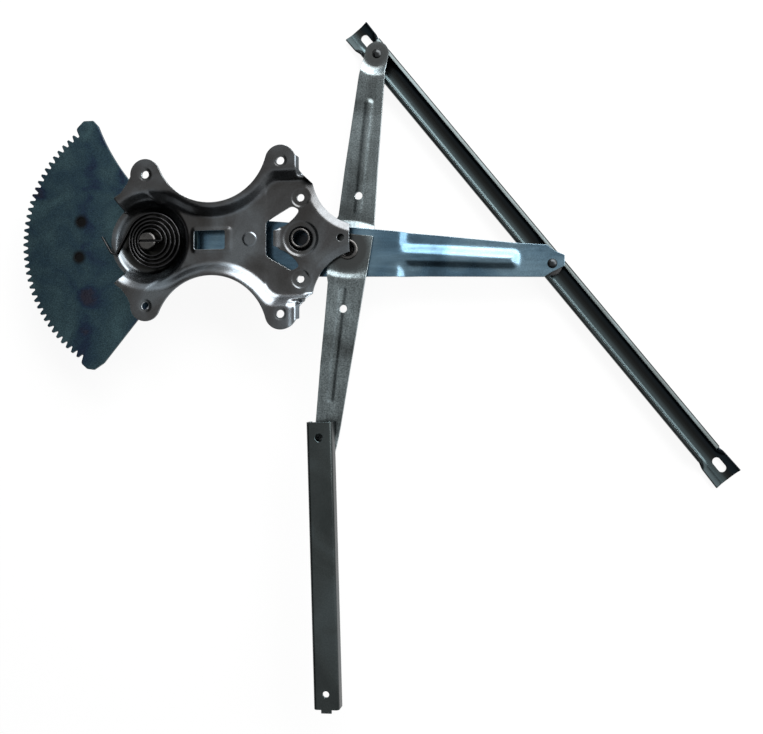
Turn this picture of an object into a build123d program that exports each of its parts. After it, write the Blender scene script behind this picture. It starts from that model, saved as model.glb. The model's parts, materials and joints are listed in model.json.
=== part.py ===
from build123d import *

import os
from math import atan2, cos, degrees, hypot, pi, radians, sin, tan

# Window regulator of the X-arm kind, with a counterbalance spring and a motor mount.
# Millimetres, +Z up. The origin is on the main pivot's axis, in the plane of the ears
# that bolt to the door. The whole mechanism hangs below that plane, and +X runs along
# the base plate from the pivot to the motor.

# Gear train: the sector is cut from a 118-tooth wheel and runs with a 14-tooth pinion
gear_module = 2.08
wheel_teeth = 118
sector_teeth = 36
pinion_teeth = 14
pressure_angle = 20.0
dedendum = 1.15
pitch_radius = gear_module * wheel_teeth / 2
tip_radius = pitch_radius + gear_module
root_radius = pitch_radius - dedendum * gear_module
motor_x = gear_module * (wheel_teeth + pinion_teeth) / 2

# Linkage: pivot A, crossing C, lift roller B, upper roller D and guide roller E. The
# crossing stands a little above the line from A to B, and CB is as long as CD.
inner_reach = 177.27
outer_reach = 174.32
crossing_angle = -3.02
lift_outer_angle = -4.67
upper_angle = 82.33
lower_angle = 263.13

# Sheet thicknesses
plate_sheet = 2.0
arm_sheet = 2.5
link_sheet = 2.2
channel_sheet = 1.5

# Heights of the upper faces, from the ears down
floor_top = -8.0
skirt_edge = -11.5
pocket_top = -15.2
sector_top = -17.5
arm_top = sector_top - arm_sheet
arm_low_top = arm_top - 5.0
lower_pad_top = -16.8
lower_body_top = -14.2
guide_pad_top = -12.6
upper_pad_top = -23.5
upper_body_top = -27.8
glass_pad_top = -31.2

# Base plate
left_ear = (0.0, 57.35)
right_ear = (121.6, 65.4)
ear_radius = 13.5
ear_hole_radius = 3.4
left_tangent = (12.43, 62.6)
right_tangent = (108.6, 69.0)
scallop = (59.4, 82.5)
scallop_radius = 51.0
nose_cut = (192.0, 56.0)
nose_cut_radius = 45.7
nose_x = 179.7
pan_radius = 44.0
neck_land = 3.5
motor_half_width = 59.5
pocket_radius = 34.5
pocket_floor_radius = 29.5
rim_top = -10.6
motor_bolt_radius = 35.0
motor_hole_radius = 3.2
collar_radius = 8.4
dish_radius = 15.8
dish_depth = 1.2
bush_bore = 6.6

skirt_width = 5.3
skirt_from = 10.5
skirt_sweep = 64
opening_corners = [
    (106.8, 0),
    (106.8, 14.5),
    (111.6, 17.8),
    (129.5, 28.0),
    (136.5, 24.2),
    (132.5, 18.3),
    (124.0, 11.0),
    (117.6, 7.0),
    (117.6, 0),
]

# Pivots
stud_radius = 7.8
stud_top = -3.5
slot_width = 2.2
washer_radius = 14.0
washer_sheet = 1.2
washer_bottom = -23.9
journal_radius = 6.5
bush_radius = 8.5
running_gap = 0.05
crossing_radius = 7.0

# Sector plate, seen from the front
sector_middle = 181.1
hub_radius = 42.0
upper_horn = [(-73.2, 104.6), (-66.0, 111.6), (-57.0, 111.6)]
upper_neck = (-52.2, 106.5)
upper_waist = (-34.3, 72.5)
lower_horn = [(-68.5, -107.4), (-62.6, -112.6), (-56.2, -113.4)]
lower_neck = (-47.0, -107.4)
rivet_places = [(-68.5, 20.5), (-70.5, -11.5)]
rivet_radius = 3.9

# Lift arm: outline along the line from A to B, step and tapered rib
arm_upper_edge = [(-86, 27), (104, 24.5), (176.7, 22.2), (258, 18.9), (321, 15.8), (346.1, 15.6)]
arm_end = [(353.5, 10.5), (361.3, 7.6), (361.9, -1.3), (350.2, -8.0), (345.5, -11.6)]
arm_lower_edge = [(240, -16.8), (215, -18.7), (154.7, -21.9), (-86, -27)]
step_at = 226.0
rib_corners = [(196, -10.9), (324.4, -7.8), (324.4, 10.1), (196, 10.9)]
rib_tip_radius = 8.0

# Counterbalance spring: a flat strip wound on edge, in half turns, with a hooked leg
spring_strip = 1.5
spring_top = -5.0
spring_width = 5.3
spring_right = 13.2
spring_right_step = 4.0
spring_left = 8.9
spring_left_step = 2.7
spring_full_turns = 4
leg_angle = 150.8
leg_length = 26.5

# Roller studs
stud_shank = 3.5
stud_shoulder = 5.5
stud_head = 5.6
stud_recess = 1.5
stud_dome = 1.9
stud_dome_radius = 4.2

# Equalizer
pad_start = -15.3
inner_crank = (20.2, 27.4)
upper_outer_crank = (154.3, 162.0)
lower_outer_crank = (156.5, 164.0)
upper_left_edge = [(-15.3, 19), (20.5, 18), (29.6, 14.3), (69.8, 14.2), (105, 13.5), (153, 12.7)]
upper_right_edge = [(-15.3, -19), (20, -19), (27.1, -18.1), (72.7, -14.9), (107.4, -12.9), (161.1, -9.6)]
upper_end_radius = 10.6
lower_left_edge = [(-13.5, -16), (20.5, -16), (30.5, -13.4), (64.6, -12.3), (98.9, -11.6), (150, -9.6)]
lower_right_edge = [(-13.5, 20.7), (21.1, 19.0), (73.4, 16.5), (105.5, 14.8), (152.3, 12.6), (169, 11.4)]
lower_end_radius = 10.4
upper_bar_hole = (48.6, -1.3)
lower_bar_hole = (51.4, 2.7)
bar_hole_radius = 3.4
rib_half = 4.5
rib_depth = 1.3
upper_rib = [(36.2, -2.5), (129.0, 0.3)]
lower_rib = [(35.6, 0.1), (130.0, 0.3)]
rivet_flange = 8.9
rivet_hollow = 5.1
rivet_floor = 1.5
wear_washer_radius = 12.5
wear_washer_sheet = 0.8

# Channels and rollers
glass_width = 21.8
guide_width = 21.8
channel_depth = 12.0
glass_bend = 4.5
guide_bend = 2.5
lip = 3.6
lip_bend = 1.8
glass_before = 33.8
glass_after = 474.6
guide_before = 27.8
guide_after = 215.9
guide_angle = -88.4
roller_play = 0.3
roller_height = 8.2
roller_bore = 4.05
roller_shoulder = 2.2
upper_tongue = 23.2
lower_tongue = 29.5
tongue_wall = 4.0
upper_slot_inset = 14.8
lower_slot_inset = 15.6
slot_shift = 1.8
glass_slot_length = 14.0
glass_slot_width = 7.0
guide_hole_inset = 13.2
guide_upper_hole = 3.6
guide_lower_hole = 2.8

slope = 45.0
corner = tan(radians(slope / 2))


def polar(distance, angle, start=(0.0, 0.0)):
    """The point at a distance and angle from a start point."""
    return (start[0] + distance * cos(radians(angle)), start[1] + distance * sin(radians(angle)))


def along(point, angle, height=0.0):
    """A level plane at a point, with its x axis turned to an angle."""
    return Plane(origin=(*point, height), x_dir=(*polar(1, angle), 0), z_dir=(0, 0, 1))


def side(frame):
    """The upright plane that holds a level plane's x axis, with z up the page."""
    return Plane(origin=frame.origin, x_dir=frame.x_dir, z_dir=frame.x_dir.cross(Vector(0, 0, 1)))


pivot_a = (0.0, 0.0)
crossing_c = polar(inner_reach, crossing_angle)
roller_b = polar(outer_reach, lift_outer_angle, crossing_c)
roller_d = polar(outer_reach, upper_angle, crossing_c)
roller_e = polar(inner_reach, lower_angle, crossing_c)
lift_angle = degrees(atan2(roller_b[1], roller_b[0]))
glass_angle = (lift_outer_angle + upper_angle) / 2 - 90

lift_frame = along(pivot_a, lift_angle)
upper_frame = along(crossing_c, upper_angle)
lower_frame = along(crossing_c, lower_angle)
glass_frame = along(roller_d, glass_angle)
guide_frame = along(roller_e, guide_angle)

os.makedirs("parts", exist_ok=True)

# ---------------------------------------------------------------- base plate
motor_holes = [polar(motor_bolt_radius, a, (motor_x, 0)) for a in (-90, 0, 90)]
ears = [(x, s * y) for x, y in (left_ear, right_ear) for s in (1, -1)]

# Flat outline of the pressing, made for the upper half and mirrored
with BuildSketch() as blank:
    upper_corners = [
        (-13.4, 56.0),
        left_ear,
        left_tangent,
        right_tangent,
        right_ear,
        (135.1, 65.4),
        (138.5, 56.0),
        (147.1, 47.5),
        (nose_x, 15.0),
    ]
    tab_corners = [polar(47.5, 130.5), polar(47.5, 118.0)]
    Polygon((0, 0), *tab_corners, *upper_corners, (nose_x, 0), align=None)
    with Locations(left_ear, right_ear):
        Circle(ear_radius)
    with Locations(scallop):
        Circle(scallop_radius, mode=Mode.SUBTRACT)
    with Locations(nose_cut):
        Circle(nose_cut_radius, mode=Mode.SUBTRACT)
    mirror(about=Plane.XZ)
    Circle(pocket_radius + plate_sheet)

# The pan is pressed down inside the outline, and runs out open under the motor
with BuildSketch() as pan:
    Circle(pan_radius)
    with Locations((20, 0)):
        Rectangle(40, 2 * pan_radius)
    with Locations((120, 0)):
        Rectangle(170, 2 * motor_half_width)
    with Locations(scallop, (scallop[0], -scallop[1])):
        Circle(scallop_radius + neck_land, mode=Mode.SUBTRACT)
    with Locations((60, 80), (60, -80)):
        Rectangle(60, 60, mode=Mode.SUBTRACT)
    fillet(pan.vertices().filter_by_position(Axis.X, 15, 115), 13)

with BuildPart() as pan_space:
    add(pan.sketch)
    extrude(amount=floor_top, taper=slope)

with BuildPart() as base_plate:
    with BuildSketch(Plane.XY.offset(-plate_sheet)):
        add(pan.sketch)
        offset(amount=plate_sheet * corner, kind=Kind.INTERSECTION)
    extrude(amount=floor_top, taper=slope)
    with BuildSketch():
        add(blank.sketch)
    extrude(amount=-plate_sheet)
    add(pan_space.part, mode=Mode.SUBTRACT)
    with BuildSketch():
        add(blank.sketch)
    extrude(amount=-20, mode=Mode.INTERSECT)

    # Skirts turned down round the two cuts of the nose, and under the right ears
    with BuildSketch():
        with Locations(nose_cut, (nose_cut[0], -nose_cut[1])):
            Circle(nose_cut_radius + skirt_width)
    extrude(amount=floor_top - plate_sheet, mode=Mode.SUBTRACT)
    for sign in (1, -1):
        cut_centre = (nose_cut[0], sign * nose_cut[1])
        with BuildSketch(side(along(cut_centre, 180 + sign * skirt_from))):
            Polygon(
                (nose_cut_radius + skirt_width, floor_top),
                (nose_cut_radius, skirt_edge),
                (nose_cut_radius, skirt_edge - plate_sheet),
                (nose_cut_radius + skirt_width, floor_top - plate_sheet),
                align=None,
            )
        revolve(axis=Axis((*cut_centre, 0), (0, 0, sign)), revolution_arc=skirt_sweep)
        with Locations((right_ear[0] + ear_radius - 1, sign * 63.5, floor_top / 2)):
            Box(plate_sheet, 12, -floor_top)
    # Round spring pocket with a drawn wall; the wall is cut low where the leg leaves
    with BuildSketch(Plane.XZ):
        Polygon(
            (0, floor_top - 1),
            (pocket_radius + plate_sheet, floor_top - 1),
            (pocket_radius + plate_sheet, floor_top - plate_sheet),
            (pocket_floor_radius + plate_sheet, pocket_top - plate_sheet),
            (0, pocket_top - plate_sheet),
            align=None,
        )
    revolve(axis=Axis.Z)
    with BuildSketch(Plane.XZ):
        Polygon(
            (0, floor_top),
            (pocket_radius, floor_top),
            (pocket_floor_radius, pocket_top),
            (0, pocket_top),
            align=None,
        )
    revolve(axis=Axis.Z, mode=Mode.SUBTRACT)
    with BuildSketch():
        Polygon((0, 0), polar(90, 130.5), polar(130, 180), polar(90, 229.5), align=None)
    extrude(amount=rim_top, mode=Mode.SUBTRACT)
    # Pressed frame with a window, and a round button beside it
    with BuildSketch(Plane.XY.offset(floor_top)):
        with Locations((58.5, 0)):
            RectangleRounded(39, 25, 5)
        with Locations((92.4, 0)):
            Circle(6.6)
    extrude(amount=1.2, taper=slope)
    with BuildSketch(Plane.XY.offset(floor_top)):
        with Locations((56.4, 0)):
            RectangleRounded(28, 16.5, 2)
    extrude(amount=4, both=True, mode=Mode.SUBTRACT)
    # Shallow dish round the motor shaft, and the collar drawn down from it
    with BuildSketch(Plane.XY.offset(floor_top)):
        with Locations((motor_x, 0)):
            Circle(dish_radius)
    extrude(amount=-dish_depth - plate_sheet)
    with BuildSketch(Plane.XY.offset(floor_top)):
        with Locations((motor_x, 0)):
            Circle(dish_radius)
    extrude(amount=-dish_depth, taper=slope, mode=Mode.SUBTRACT)
    with BuildSketch(Plane.XY.offset(floor_top - dish_depth)):
        with Locations((motor_x, 0)):
            Circle(collar_radius + plate_sheet)
    extrude(amount=skirt_edge - floor_top + dish_depth - 1)
    # C-shaped opening on the pivot's side of the dish
    with BuildSketch(Plane.XY.offset(floor_top)):
        for sign in (1, -1):
            Polygon(*[(x, sign * y) for x, y in opening_corners], align=None)
        fillet(vertices(), 2)
    extrude(amount=4, both=True, mode=Mode.SUBTRACT)
    with BuildSketch(Plane.XY.offset(floor_top)):
        with Locations((motor_x, 0)):
            Circle(collar_radius)
        with Locations(*motor_holes):
            Circle(motor_hole_radius)
    extrude(amount=8, both=True, mode=Mode.SUBTRACT)
    with BuildSketch():
        with Locations(*ears):
            Circle(ear_hole_radius)
        Circle(journal_radius)
    extrude(amount=-20, mode=Mode.SUBTRACT)
base_plate.part.label = "base_plate"
export_step(base_plate.part, "parts/base_plate.step")

# Plain bush pressed into the collar, for the end of the motor's shaft
with BuildPart() as pinion_bush:
    with BuildSketch(Plane.XY.offset(skirt_edge - 1)):
        with Locations((motor_x, 0)):
            Circle(collar_radius)
            Circle(bush_bore, mode=Mode.SUBTRACT)
    extrude(amount=floor_top + 1.9 - skirt_edge)
    chamfer(pinion_bush.edges().filter_by(GeomType.CIRCLE).group_by(Axis.Z)[-1], 0.4)
pinion_bush.part.label = "pinion_bush"
export_step(pinion_bush.part, "parts/pinion_bush.step")

# ---------------------------------------------------------------- main pivot
# Slotted stud: the slot holds the inner end of the spring, the tail is riveted over
with BuildPart() as pivot_stud:
    with BuildSketch(Plane.XZ):
        Polygon(
            (0, stud_top),
            (stud_radius - 1, stud_top),
            (stud_radius, stud_top - 1),
            (stud_radius, pocket_top),
            (journal_radius, pocket_top),
            (journal_radius, washer_bottom),
            (stud_radius + 0.4, washer_bottom),
            (stud_radius + 0.4, washer_bottom - 1),
            (stud_radius - 1.2, washer_bottom - 2),
            (0, washer_bottom - 2),
            align=None,
        )
    revolve(axis=Axis.Z)
    with BuildSketch(Plane.XY.offset(stud_top)):
        Rectangle(4 * stud_radius, slot_width)
    extrude(amount=spring_top - spring_width - stud_top, mode=Mode.SUBTRACT)
pivot_stud.part.label = "pivot_stud"
export_step(pivot_stud.part, "parts/pivot_stud.step")

with BuildPart() as pivot_washer:
    with BuildSketch(Plane.XY.offset(washer_bottom)):
        Circle(washer_radius)
        Circle(journal_radius, mode=Mode.SUBTRACT)
    extrude(amount=washer_sheet)
pivot_washer.part.label = "pivot_washer"
export_step(pivot_washer.part, "parts/pivot_washer.step")


def spring_arc(half_turn):
    """Centre and radius of a half turn. Even ones pass over the top, odd ones pass below."""
    right = spring_right + spring_right_step * ((half_turn + 1) // 2)
    left = -spring_left - spring_left_step * (half_turn // 2)
    return ((right + left) / 2, 0), (right - left) / 2


# A straight tang in the stud's slot, the winding, and a leg that leaves it straight
half_strip = spring_strip / 2
leg_centre, leg_radius = spring_arc(2 * spring_full_turns)
leg_start = polar(leg_radius, leg_angle, leg_centre)
leg_corner = polar(leg_length, leg_angle + 90, leg_start)
hook_corner = polar(4.4, 168, leg_corner)
hook_tip = polar(10.9, 120, hook_corner)
with BuildPart() as counterbalance_spring:
    with BuildSketch(Plane.XY.offset(spring_top - spring_width)):
        for half_turn in range(2 * spring_full_turns + 1):
            arc_centre, arc_radius = spring_arc(half_turn)
            start = 180 * (half_turn % 2)
            sweep = leg_angle if half_turn == 2 * spring_full_turns else 180
            with BuildLine():
                outer = CenterArc(arc_centre, arc_radius + half_strip, start, sweep)
                inner = CenterArc(arc_centre, arc_radius - half_strip, start, sweep)
                Line(outer @ 0, inner @ 0)
                Line(outer @ 1, inner @ 1)
            make_face()
        with BuildLine():
            FilletPolyline(leg_start, leg_corner, hook_corner, hook_tip, radius=2)
        trace(line_width=spring_strip)
        with Locations((spring_right, 0)):
            Rectangle(spring_strip, half_strip, align=(Align.CENTER, Align.MAX))
        with Locations((1 - stud_radius, 0)):
            tang_length = spring_right + stud_radius - 1
            Rectangle(tang_length, spring_strip, align=(Align.MIN, Align.CENTER))
    extrude(amount=spring_width)
counterbalance_spring.part.label = "counterbalance_spring"
export_step(counterbalance_spring.part, "parts/counterbalance_spring.step")

# ---------------------------------------------------------------- sector and lift arm
# One tooth of a wheel this large is close to a rack tooth: straight flanks, rounded tip
flank = tan(radians(pressure_angle))
half_pitch_width = pi * gear_module / 4
tooth_tip = half_pitch_width - gear_module * flank
tooth_root = half_pitch_width + dedendum * gear_module * flank
pitch_step = 360 / wheel_teeth
first_tooth = sector_middle - pitch_step * (sector_teeth - 1) / 2
last_tooth = first_tooth + pitch_step * (sector_teeth - 1)

with BuildPart() as sector_gear:
    with BuildSketch(Plane.XY.offset(arm_top)):
        with BuildLine():
            root_arc = CenterArc((0, 0), root_radius, first_tooth - 2, last_tooth - first_tooth + 4)
            upper_land = Polyline(root_arc @ 0, *upper_horn, upper_neck)
            lower_land = Polyline(root_arc @ 1, *lower_horn, lower_neck)
            ThreePointArc(upper_neck, upper_waist, polar(hub_radius, 101))
            CenterArc((0, 0), hub_radius, 101, -180)
            Line(polar(hub_radius, -79), lower_neck)
        make_face()
        fillet(vertices().sort_by(lambda v: -Vector(v.X, v.Y, 0).length)[:4], 3)
        with PolarLocations(root_radius, sector_teeth, first_tooth, pitch_step * sector_teeth):
            Polygon(
                (-0.6, -tooth_root),
                (0, -tooth_root),
                (tip_radius - root_radius, -tooth_tip),
                (tip_radius - root_radius, tooth_tip),
                (0, tooth_root),
                (-0.6, tooth_root),
                align=None,
            )
    extrude(amount=arm_sheet)
    with BuildSketch(Plane.XY.offset(sector_top)):
        Circle(bush_radius)
        with Locations(*rivet_places):
            Circle(rivet_radius)
    extrude(amount=-arm_sheet, mode=Mode.SUBTRACT)
sector_gear.part.label = "sector_gear"
export_step(sector_gear.part, "parts/sector_gear.step")

# Two rivets join the sector to the tail of the lift arm; their faces sit a little low
with BuildPart() as sector_rivets:
    with BuildSketch(Plane.XY.offset(sector_top - 0.4)):
        with Locations(*rivet_places):
            Circle(rivet_radius)
    extrude(amount=arm_top - arm_sheet - sector_top + 0.4)
    with BuildSketch(Plane.XY.offset(arm_top - arm_sheet)):
        with Locations(*rivet_places):
            Circle(rivet_radius + 1.4)
    extrude(amount=-1.4, taper=25)
sector_rivets.part.label = "sector_rivets"
export_step(sector_rivets.part, "parts/sector_rivets.step")

# Sleeve pressed through sector and arm, which turns on the stud's journal
with BuildPart() as lift_arm_bush:
    with BuildSketch(Plane.XY.offset(arm_top - arm_sheet - 0.1)):
        Circle(bush_radius)
        Circle(journal_radius + running_gap, mode=Mode.SUBTRACT)
    extrude(amount=sector_top - arm_top + arm_sheet + 0.2)
lift_arm_bush.part.label = "lift_arm_bush"
export_step(lift_arm_bush.part, "parts/lift_arm_bush.step")

# The arm is pressed down by one step past the crossing; only its rib stays at full height
arm_length = hypot(*roller_b)
arm_crossing = polar(inner_reach, crossing_angle - lift_angle)
arm_outline = arm_upper_edge + arm_end + arm_lower_edge
arm_axis = Axis(lift_frame.origin, lift_frame.x_dir)
arm_low_bottom = arm_low_top - arm_sheet
arm_rise = arm_top - arm_low_top
with BuildSketch() as arm_rib:
    Polygon(*rib_corners, align=None)
    fillet(arm_rib.vertices().group_by(Axis.X)[-1], rib_tip_radius)
with BuildSketch() as raised_area:
    with Locations((step_at / 2 - 60, 0)):
        Rectangle(step_at + 120, 90)
    add(arm_rib.sketch)
    at_step = raised_area.vertices().filter_by_position(Axis.X, step_at - 1, step_at + 1)
    fillet(at_step.filter_by_position(Axis.Y, -20, 20), 7)

with BuildPart() as arm_form:
    with BuildSketch(lift_frame.offset(arm_low_bottom)):
        with Locations((arm_length / 2, 0)):
            Rectangle(2 * arm_length, 90)
    extrude(amount=arm_sheet)
    with BuildSketch(lift_frame.offset(arm_low_top)):
        add(raised_area.sketch)
    extrude(amount=arm_rise, taper=slope)
    with BuildSketch(lift_frame.offset(arm_low_bottom)):
        add(raised_area.sketch)
        offset(amount=-arm_sheet * corner)
    extrude(amount=arm_rise, taper=slope, mode=Mode.SUBTRACT)

with BuildPart() as lift_arm:
    with BuildSketch(lift_frame.offset(arm_low_bottom)):
        Polygon(*arm_outline, align=None)
        fillet(vertices().group_by(arm_axis)[0], 14)
    extrude(amount=arm_rise + arm_sheet)
    add(arm_form.part, mode=Mode.INTERSECT)
    with BuildSketch(lift_frame.offset(arm_top)):
        Circle(bush_radius)
        with Locations(arm_crossing):
            Circle(crossing_radius + running_gap)
        with Locations((arm_length, 0)):
            Circle(stud_shank)
    extrude(amount=-20, mode=Mode.SUBTRACT)
    with BuildSketch(Plane.XY.offset(arm_top)):
        with Locations(*rivet_places):
            Circle(rivet_radius)
    extrude(amount=-20, mode=Mode.SUBTRACT)
lift_arm.part.label = "lift_arm"
export_step(lift_arm.part, "parts/lift_arm.step")

# ---------------------------------------------------------------- studs and rollers
glass_lip_top = glass_pad_top - link_sheet - 0.4
guide_lip_bottom = guide_pad_top + 0.4
glass_roller_radius = glass_width / 2 - channel_sheet - roller_play
guide_roller_radius = guide_width / 2 - channel_sheet - roller_play


def roller_stud(pad, pad_sheet, reach):
    """A stud riveted through a pad. The plane lies on the pad, and its z points at the roller."""
    head_start = reach + roller_height - stud_recess + 0.1
    dome_curve = (stud_dome_radius**2 + stud_dome**2) / (2 * stud_dome)
    with BuildPart() as stud:
        with BuildSketch(Plane(origin=pad.origin, x_dir=pad.x_dir, z_dir=-pad.y_dir)):
            with BuildLine():
                Polyline(
                    (0, -pad_sheet - stud_dome),
                    (0, reach + roller_height - 0.2),
                    (stud_head, reach + roller_height - 0.2),
                    (stud_head, head_start),
                    (roller_bore - running_gap, head_start),
                    (roller_bore - running_gap, reach - 0.1),
                    (stud_shoulder, reach - 0.1),
                    (stud_shoulder, 0),
                    (stud_shank, 0),
                    (stud_shank, -pad_sheet),
                    (stud_dome_radius, -pad_sheet),
                )
                RadiusArc((stud_dome_radius, -pad_sheet), (0, -pad_sheet - stud_dome), dome_curve)
            make_face()
        revolve(axis=Axis(pad.origin, pad.z_dir))
    return stud


def roller(pad, reach, radius):
    """A plastic roller with a waist, a bore and a recess for the stud's head."""
    middle = reach + roller_height / 2
    far = reach + roller_height
    with BuildPart() as wheel:
        with BuildSketch(Plane(origin=pad.origin, x_dir=pad.x_dir, z_dir=-pad.y_dir)):
            with BuildLine():
                Polyline(
                    (radius, middle - 1.2),
                    (radius, reach + 0.6),
                    (radius - 0.6, reach),
                    (roller_bore, reach),
                    (roller_bore, far - stud_recess),
                    (stud_head + 0.3, far - stud_recess),
                    (stud_head + 0.3, far),
                    (radius - roller_shoulder, far),
                    (radius, far - roller_shoulder),
                    (radius, middle + 1.2),
                )
                ThreePointArc((radius, middle + 1.2), (radius - 0.8, middle), (radius, middle - 1.2))
            make_face()
        revolve(axis=Axis(pad.origin, pad.z_dir))
    return wheel


def pad_plane(point, height, up):
    """The plane on a pad, facing up or down."""
    return Plane(origin=(*point, height), x_dir=(1, 0, 0), z_dir=(0, 0, up))


lift_pad = pad_plane(roller_b, arm_low_bottom, -1)
upper_pad = pad_plane(roller_d, glass_pad_top - link_sheet, -1)
guide_pad = pad_plane(roller_e, guide_pad_top, 1)
inset = channel_sheet + roller_play
lift_reach = arm_low_bottom - glass_lip_top + inset
upper_reach = glass_pad_top - link_sheet - glass_lip_top + inset
guide_reach = guide_lip_bottom - guide_pad_top + inset

lift_roller_stud = roller_stud(lift_pad, arm_sheet, lift_reach)
lift_roller_stud.part.label = "lift_roller_stud"
export_step(lift_roller_stud.part, "parts/lift_roller_stud.step")

lift_roller = roller(lift_pad, lift_reach, glass_roller_radius)
lift_roller.part.label = "lift_roller"
export_step(lift_roller.part, "parts/lift_roller.step")

upper_roller_stud = roller_stud(upper_pad, link_sheet, upper_reach)
upper_roller_stud.part.label = "upper_roller_stud"
export_step(upper_roller_stud.part, "parts/upper_roller_stud.step")

upper_roller = roller(upper_pad, upper_reach, glass_roller_radius)
upper_roller.part.label = "upper_roller"
export_step(upper_roller.part, "parts/upper_roller.step")

guide_roller_stud = roller_stud(guide_pad, link_sheet, guide_reach)
guide_roller_stud.part.label = "guide_roller_stud"
export_step(guide_roller_stud.part, "parts/guide_roller_stud.step")

guide_roller = roller(guide_pad, guide_reach, guide_roller_radius)
guide_roller.part.label = "guide_roller"
export_step(guide_roller.part, "parts/guide_roller.step")


# ---------------------------------------------------------------- equalizer
def cranked_bar(frame, heights, crank, left, right, length, end_radius, hole):
    """Half of the equalizer: a tapered bar, cranked beside the crossing and near its end."""
    pad_height, body_height, end_height = heights
    stations = [
        (pad_start, pad_height),
        (inner_crank[0], pad_height),
        (inner_crank[1], body_height),
        (crank[0], body_height),
        (crank[1], end_height),
        (length + 20, end_height),
    ]
    lower = [(x, z - link_sheet) for x, z in reversed(stations)]
    upper_end = (length, end_radius)
    lower_end = (length, -end_radius)
    ends = (upper_end, lower_end) if left[0][1] > 0 else (lower_end, upper_end)
    with BuildPart() as bar:
        with BuildSketch(side(frame)):
            Polygon(*stations, *lower, align=None)
        extrude(amount=40, both=True)
        with BuildSketch(frame):
            Polygon(*left, *ends, *reversed(right), align=None)
            with Locations((length, 0)):
                Circle(end_radius)
        extrude(amount=-60, mode=Mode.INTERSECT)
        with BuildSketch(frame):
            Circle(crossing_radius)
            with Locations(hole):
                Circle(bar_hole_radius)
            with Locations((length, 0)):
                Circle(stud_shank)
        extrude(amount=-60, mode=Mode.SUBTRACT)
    return bar


def bar_rib(frame, height, depth, line, hole):
    """The rib pressed along a half of the equalizer, as a solid of its own."""
    with BuildPart() as rib:
        with BuildSketch(frame.offset(height)):
            with Locations(*line):
                Circle(rib_half)
            make_hull()
            with Locations(hole):
                Circle(bar_hole_radius, mode=Mode.SUBTRACT)
        extrude(amount=depth, taper=30)
    return rib


upper_heights = (upper_pad_top, upper_body_top, glass_pad_top)
upper_bar = cranked_bar(
    upper_frame,
    upper_heights,
    upper_outer_crank,
    upper_left_edge,
    upper_right_edge,
    outer_reach,
    upper_end_radius,
    upper_bar_hole,
)
upper_form = bar_rib(upper_frame, upper_body_top, rib_depth, upper_rib, upper_bar_hole)
upper_rear = upper_body_top - link_sheet
upper_groove = bar_rib(upper_frame, upper_rear, rib_depth, upper_rib, upper_bar_hole)
with BuildPart() as equalizer_upper_arm:
    add(upper_bar.part)
    add(upper_form.part)
    add(upper_groove.part, mode=Mode.SUBTRACT)
equalizer_upper_arm.part.label = "equalizer_upper_arm"
export_step(equalizer_upper_arm.part, "parts/equalizer_upper_arm.step")

lower_heights = (lower_pad_top, lower_body_top, guide_pad_top)
lower_bar = cranked_bar(
    lower_frame,
    lower_heights,
    lower_outer_crank,
    lower_left_edge,
    lower_right_edge,
    inner_reach,
    lower_end_radius,
    lower_bar_hole,
)
lower_rear = lower_body_top - link_sheet
lower_form = bar_rib(lower_frame, lower_rear, -rib_depth, lower_rib, lower_bar_hole)
lower_groove = bar_rib(lower_frame, lower_body_top, -rib_depth, lower_rib, lower_bar_hole)
with BuildPart() as equalizer_lower_arm:
    add(lower_bar.part)
    add(lower_form.part)
    add(lower_groove.part, mode=Mode.SUBTRACT)
equalizer_lower_arm.part.label = "equalizer_lower_arm"
export_step(equalizer_lower_arm.part, "parts/equalizer_lower_arm.step")

# Semi-tubular rivet that clamps the two halves over the lift arm, which turns on its barrel
rear_face = upper_pad_top - link_sheet
with BuildPart() as equalizer_rivet:
    with BuildSketch(side(upper_frame)):
        with BuildLine():
            Polyline(
                (crossing_radius, rear_face),
                (crossing_radius, lower_pad_top),
                (rivet_flange, lower_pad_top),
                (rivet_flange, lower_pad_top + 0.6),
            )
            ThreePointArc(
                (rivet_flange, lower_pad_top + 0.6),
                (crossing_radius, lower_pad_top + 1.5),
                (rivet_hollow, lower_pad_top + 0.2),
            )
            Polyline(
                (rivet_hollow, lower_pad_top + 0.2),
                (rivet_hollow, rear_face + rivet_floor),
                (0, rear_face + rivet_floor),
                (0, rear_face - 1.5),
                (rivet_hollow, rear_face - 1.5),
            )
            Line((rivet_hollow, rear_face - 1.5), (rivet_flange, rear_face - 0.6))
            Polyline(
                (rivet_flange, rear_face - 0.6),
                (rivet_flange, rear_face),
                (crossing_radius, rear_face),
            )
        make_face()
    revolve(axis=Axis(upper_frame.origin, (0, 0, 1)))
equalizer_rivet.part.label = "equalizer_rivet"
export_step(equalizer_rivet.part, "parts/equalizer_rivet.step")

# Plastic wear washers between the lift arm and the two halves
lower_pad_bottom = lower_pad_top - link_sheet
for name, height in (
    ("front_wear_washer", lower_pad_bottom - wear_washer_sheet),
    ("rear_wear_washer", upper_pad_top),
):
    with BuildPart() as wear_washer:
        with BuildSketch(upper_frame.offset(height)):
            Circle(wear_washer_radius)
            Circle(crossing_radius + running_gap, mode=Mode.SUBTRACT)
        extrude(amount=wear_washer_sheet)
    wear_washer.part.label = name
    export_step(wear_washer.part, f"parts/{name}.step")


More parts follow.
